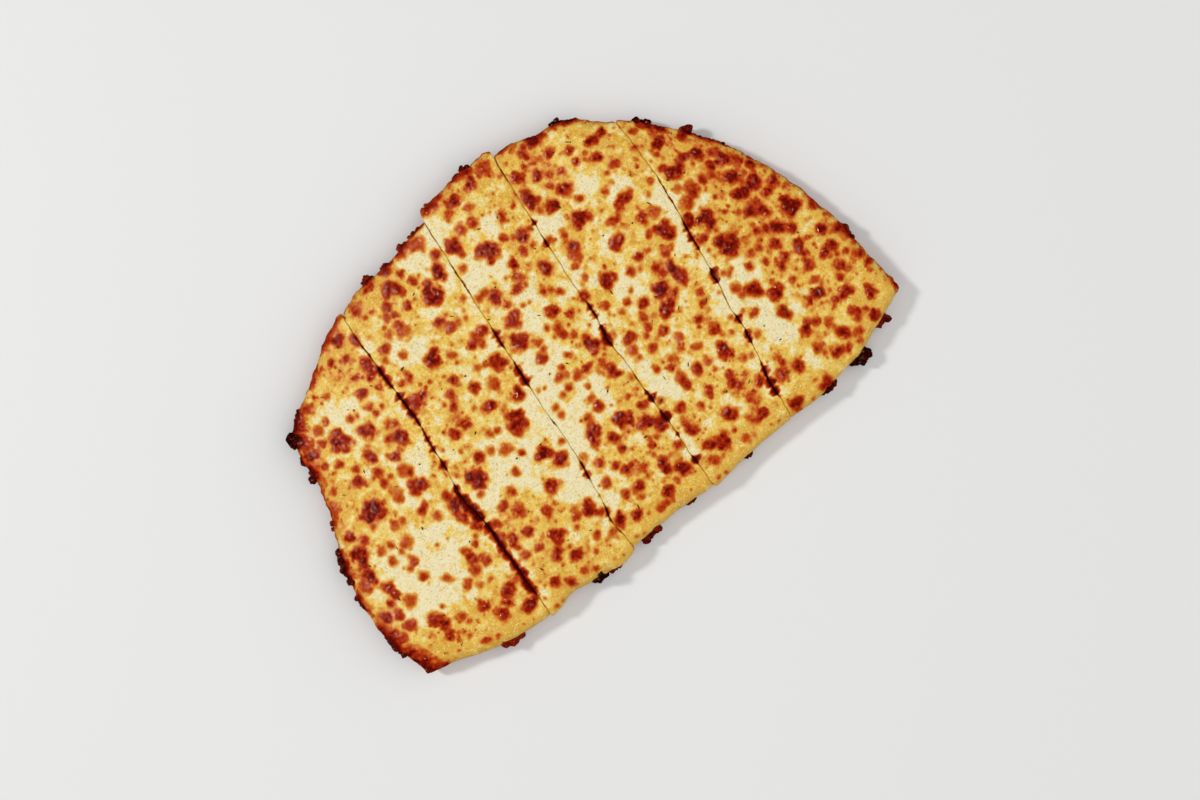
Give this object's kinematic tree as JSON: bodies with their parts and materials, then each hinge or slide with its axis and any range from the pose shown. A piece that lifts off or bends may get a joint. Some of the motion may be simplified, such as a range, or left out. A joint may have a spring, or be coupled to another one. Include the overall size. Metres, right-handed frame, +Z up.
{
  "type": "cheesy garlic bread",
  "caption": "Half-moon of baked garlic bread under browned, blistered melted cheese, cut across into strips that lie together; served food to share.",
  "frame": {"origin": "middle of the bounding box, on the flat base the bread rests on", "axes": "+X along the straight edge, +Y from the straight edge to the middle of the arc, +Z up out of the cheese side"},
  "size_m": [0.3044, 0.2006, 0.0233],
  "materials": {
    "bread": "baked crust, toasted brown at the rim and under the base",
    "melted_cheese": "melted cheese, cream to gold with red-brown blisters, slightly oily",
    "dried_herbs": "dry herb flakes, dark grey-green"
  },
  "bodies": {
    "root": {"bread_strip_1": "bread", "bread_strip_2": "bread", "bread_strip_3": "bread", "bread_strip_4": "bread", "bread_strip_5": "bread", "cheese_strip_1": "melted_cheese", "cheese_strip_2": "melted_cheese", "cheese_strip_3": "melted_cheese", "cheese_strip_4": "melted_cheese", "cheese_strip_5": "melted_cheese"}
  },
  "joints": []
}
